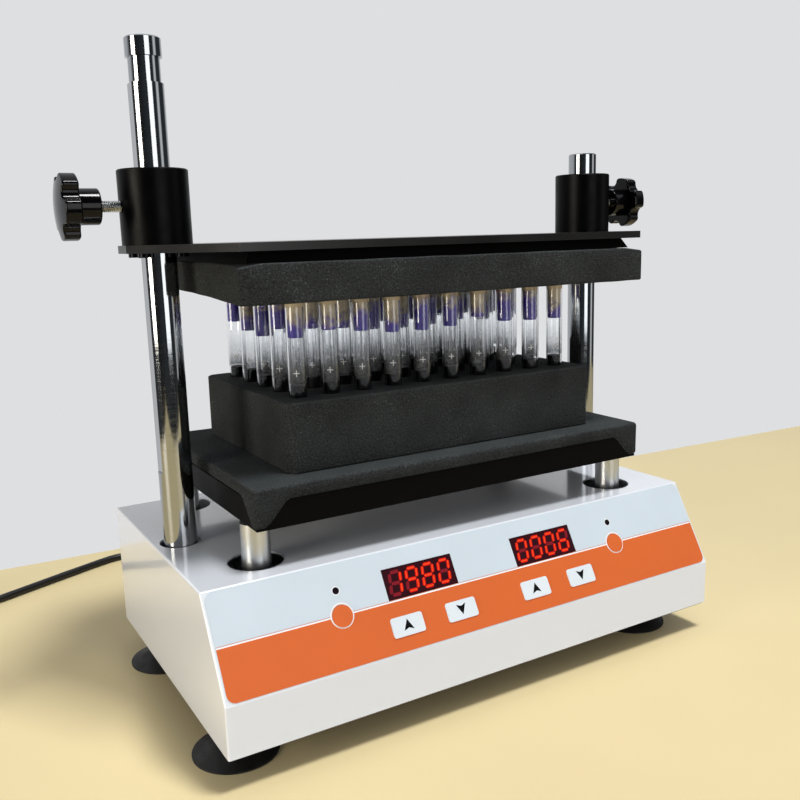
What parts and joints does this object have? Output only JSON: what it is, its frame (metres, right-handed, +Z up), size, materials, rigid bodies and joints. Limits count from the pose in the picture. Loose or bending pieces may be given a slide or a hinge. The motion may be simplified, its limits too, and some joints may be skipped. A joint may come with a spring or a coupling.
{
  "type": "multi-tube vortex mixer",
  "caption": "Bench shaker that holds rows of stoppered glass tubes between foam pads on an orbiting platform, with a sloping control panel and a clamp plate on two posts.",
  "frame": {"origin": "on the table, below the middle of the housing and, within 4 mm, of the object without its cord", "axes": "+X to the operator's right along the long side, +Y from the control panel to the back, +Z up"},
  "size_m": [0.6748, 0.4825, 0.471],
  "materials": {
    "white_enamel": "gloss",
    "black_steel": "satin",
    "black_collar": "satin",
    "chrome": "polished",
    "satin_steel": "brushed",
    "zinc": "satin",
    "aluminium": "satin",
    "cast_grey": "matte",
    "black_rubber": "matte",
    "stopper_rubber": "matte",
    "grey_foam": "matte",
    "clear_glass": "gloss",
    "overlay_film": "satin",
    "window_film": "gloss",
    "display_red": "gloss",
    "lamp_dark": "gloss",
    "orange_key": "satin",
    "pale_key": "satin",
    "knob_plastic": "gloss",
    "black_plastic": "matte",
    "white_plastic": "matte",
    "circuit_board": "satin",
    "cord_black": "satin"
  },
  "bodies": {
    "base": {"base_pan": "black_steel", "housing_shell": "white_enamel", "rear_panel": "white_enamel", "rear_panel_screws": "zinc", "suction_feet": "black_rubber", "foot_screws": "zinc", "control_overlay": "overlay_film", "display_windows": "window_film", "led_displays": "display_red", "status_lamps": "lamp_dark", "key_switches": "black_plastic", "control_board": "circuit_board", "power_board": "circuit_board", "power_inlet": "black_plastic", "motor": "zinc", "drive_belt": "black_rubber", "drive_bearing_housing": "cast_grey", "drive_bearings": "zinc", "drive_bolts": "zinc", "idler_bearings": "cast_grey", "cord": "cord_black", "cord_coil": "cord_black", "coil_tie": "cord_black", "connector": "cord_black", "plug": "cord_black"},
    "drive": {"eccentric_shaft": "zinc", "drive_pulley": "aluminium", "counterweight": "zinc"},
    "motor_rotor": {"motor_pulley": "aluminium"},
    "left_idler": {"idler_crank_left": "zinc"},
    "right_idler": {"idler_crank_right": "zinc"},
    "platform": {"moving_plate": "aluminium", "platform_bearing": "zinc", "tray_posts": "satin_steel", "tray": "black_steel", "lower_foam": "grey_foam", "tube_rack": "grey_foam", "tubes": "clear_glass", "stoppers": "stopper_rubber", "left_post": "chrome", "right_post": "chrome"},
    "clamp": {"top_plate": "black_steel", "left_collar": "black_collar", "right_collar": "black_collar", "collar_screws": "zinc", "upper_pan": "black_steel", "upper_foam": "grey_foam"},
    "left_tip": {"left_clamp_pad": "white_plastic"},
    "left_screw": {"left_knob": "knob_plastic", "left_stud": "zinc"},
    "right_tip": {"right_clamp_pad": "white_plastic"},
    "right_screw": {"right_knob": "knob_plastic", "right_stud": "zinc"},
    "rocker": {"switch_rocker": "black_plastic"},
    "short_mix_key_cap": {"short_mix_key": "orange_key"},
    "start_key_cap": {"start_key": "orange_key"},
    "speed_up_key_cap": {"speed_up_key": "pale_key"},
    "speed_down_key_cap": {"speed_down_key": "pale_key"},
    "time_up_key_cap": {"time_up_key": "pale_key"},
    "time_down_key_cap": {"time_down_key": "pale_key"}
  },
  "joints": [
    {"name": "drive_spin", "type": "hinge", "parent": "base", "child": "drive", "pos_m": [0, 0.0208, 0.044], "axis": [0, 0, 1], "continuous": true},
    {"name": "platform_orbit", "type": "hinge", "parent": "drive", "child": "platform", "pos_m": [0, 0.019, 0.1], "axis": [0, 0, 1], "continuous": true},
    {"name": "motor_spin", "type": "hinge", "parent": "base", "child": "motor_rotor", "pos_m": [-0.066, 0.084, 0.06], "axis": [0, 0, 1], "continuous": true},
    {"name": "left_idler_spin", "type": "hinge", "parent": "base", "child": "left_idler", "pos_m": [-0.112, 0.0208, 0.05], "axis": [0, 0, 1], "continuous": true},
    {"name": "right_idler_spin", "type": "hinge", "parent": "base", "child": "right_idler", "pos_m": [0.112, 0.0208, 0.05], "axis": [0, 0, 1], "continuous": true},
    {"name": "clamp_slide", "type": "slide", "parent": "platform", "child": "clamp", "axis": [0, 0, 1], "range_m": [0, 0.088]},
    {"name": "left_feed", "type": "slide", "parent": "clamp", "child": "left_tip", "axis": [-1, 0, 0], "range_m": [0, 0.00375]},
    {"name": "left_knob_turn", "type": "hinge", "parent": "left_tip", "child": "left_screw", "pos_m": [-0.24, 0.011, 0.3618], "axis": [-1, 0, 0], "range_deg": [0, 1080]},
    {"name": "right_feed", "type": "slide", "parent": "clamp", "child": "right_tip", "axis": [1, 0, 0], "range_m": [0, 0.00375]},
    {"name": "right_knob_turn", "type": "hinge", "parent": "right_tip", "child": "right_screw", "pos_m": [0.24, 0.011, 0.3618], "axis": [1, 0, 0], "range_deg": [0, 1080]},
    {"name": "rocker_turn", "type": "hinge", "parent": "base", "child": "rocker", "pos_m": [-0.114, 0.128, 0.066], "axis": [1, 0, 0], "range_deg": [0, 17]},
    {"name": "short_mix_key_press", "type": "slide", "parent": "base", "child": "short_mix_key_cap", "axis": [0, 0.8648, -0.5021], "range_m": [0, 0.0004], "stiffness_N_per_m": 2000, "springref_m": -0.0005},
    {"name": "start_key_press", "type": "slide", "parent": "base", "child": "start_key_cap", "axis": [0, 0.8648, -0.5021], "range_m": [0, 0.0004], "stiffness_N_per_m": 2000, "springref_m": -0.0005},
    {"name": "speed_up_key_press", "type": "slide", "parent": "base", "child": "speed_up_key_cap", "axis": [0, 0.8648, -0.5021], "range_m": [0, 0.0004], "stiffness_N_per_m": 2000, "springref_m": -0.0005},
    {"name": "speed_down_key_press", "type": "slide", "parent": "base", "child": "speed_down_key_cap", "axis": [0, 0.8648, -0.5021], "range_m": [0, 0.0004], "stiffness_N_per_m": 2000, "springref_m": -0.0005},
    {"name": "time_up_key_press", "type": "slide", "parent": "base", "child": "time_up_key_cap", "axis": [0, 0.8648, -0.5021], "range_m": [0, 0.0004], "stiffness_N_per_m": 2000, "springref_m": -0.0005},
    {"name": "time_down_key_press", "type": "slide", "parent": "base", "child": "time_down_key_cap", "axis": [0, 0.8648, -0.5021], "range_m": [0, 0.0004], "stiffness_N_per_m": 2000, "springref_m": -0.0005}
  ],
  "couplings": [
    {"joint": "platform_orbit", "follows": "drive_spin", "ratio": -1},
    {"joint": "left_idler_spin", "follows": "drive_spin", "ratio": 1},
    {"joint": "right_idler_spin", "follows": "drive_spin", "ratio": 1},
    {"joint": "motor_spin", "follows": "drive_spin", "ratio": 1.5},
    {"joint": "left_knob_turn", "follows": "left_feed", "rad_per_m": 5026.5},
    {"joint": "right_knob_turn", "follows": "right_feed", "rad_per_m": 5026.5}
  ]
}
